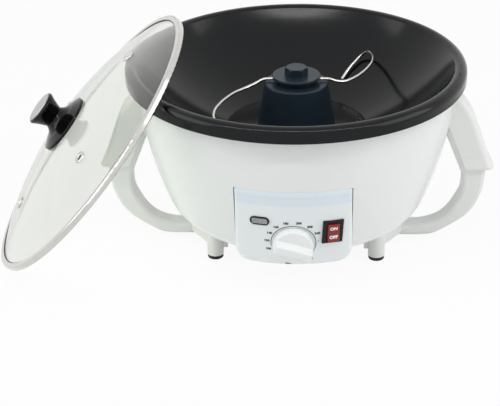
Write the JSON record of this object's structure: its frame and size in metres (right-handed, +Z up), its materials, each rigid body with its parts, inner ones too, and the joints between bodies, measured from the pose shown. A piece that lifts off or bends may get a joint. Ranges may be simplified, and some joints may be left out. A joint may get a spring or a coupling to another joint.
{
  "type": "coffee bean roaster",
  "caption": "Countertop bean roaster: white bowl housing with loop handles, dark stirred pan, control panel and a loose domed glass lid leaning on the rim.",
  "frame": {"origin": "on the floor, straight below the pan's axis", "axes": "+Z up along the pan's axis, front with the control panel at -Y, +X to the right seen from the front"},
  "size_m": [0.481, 0.3257, 0.2245],
  "materials": {
    "white_shell": "white, smooth",
    "nonstick": "dark non-stick coating on cast aluminium",
    "black_plastic": "black, slightly glossy",
    "red_plastic": "red, glossy",
    "lamp_plastic": "grey, translucent",
    "rubber": "black rubber",
    "steel": "plain steel",
    "brass": "turned brass",
    "ceramic": "unglazed ceramic with metal tabs",
    "neon": "small glow lamp in its holder",
    "glass": "clear toughened glass"
  },
  "bodies": {
    "housing": {"outer_shell": "white_shell", "control_panel": "white_shell", "base_plate": "white_shell", "base_screws": "steel", "handle_right": "white_shell", "handle_left": "white_shell", "handle_cover_right": "white_shell", "handle_cover_left": "white_shell", "handle_screws": "steel", "foot_screws": "steel", "rubber_feet": "rubber", "pan": "nonstick", "heating_element": "steel", "heater_terminals": "ceramic", "heater_clamps": "steel", "tie_rods": "steel", "rod_nuts": "steel", "heat_shield": "steel", "thermal_cutout": "black_plastic", "motor_case": "steel", "motor_bracket": "steel", "motor_screws": "steel", "bracket_screws": "steel", "shaft_bush": "brass", "bush_nut": "brass", "thrust_washer": "steel", "thermostat_body": "black_plastic", "thermostat_screws": "steel", "thermostat_bulb": "steel", "switch_housing": "black_plastic", "lamp_bezel": "black_plastic", "lamp_lens": "lamp_plastic", "neon_lamp": "neon", "cord_gland": "black_plastic", "gland_nut": "black_plastic", "terminal_block": "black_plastic", "terminal_screws": "steel"},
    "stirrer": {"motor_output_shaft": "steel", "shaft_coupling": "steel", "drive_shaft": "steel", "stirrer_hub": "black_plastic", "stirrer_plate": "black_plastic", "cap_nut": "black_plastic", "stirring_wire_right": "steel", "stirring_wire_left": "steel"},
    "dial": {"temperature_knob": "white_shell", "thermostat_spindle": "steel"},
    "rocker": {"switch_rocker": "red_plastic"},
    "lid": {"lid_glass": "glass", "lid_band": "steel", "lid_knob": "black_plastic", "lid_knob_disc": "steel", "lid_screw": "steel", "lid_washer": "rubber", "vent_eyelets": "steel"}
  },
  "joints": [
    {"name": "stirrer_spin", "type": "hinge", "parent": "housing", "child": "stirrer", "pos_m": [0, 0, 0.15], "axis": [0, 0, 1], "continuous": true},
    {"name": "dial_turn", "type": "hinge", "parent": "housing", "child": "dial", "pos_m": [0, -0.13174, 0.0626], "axis": [0, 0.9767, 0.2147], "range_deg": [-97, 157]},
    {"name": "switch_rock", "type": "hinge", "parent": "housing", "child": "rocker", "pos_m": [0.03486, -0.12831, 0.07512], "axis": [0.965, 0.2622, 0], "range_deg": [0, 13]},
    {"name": "lid_lift", "type": "slide", "parent": "housing", "child": "lid", "axis": [-0.7657, -0.0859, 0.6374], "range_m": [0, 0.12]}
  ]
}
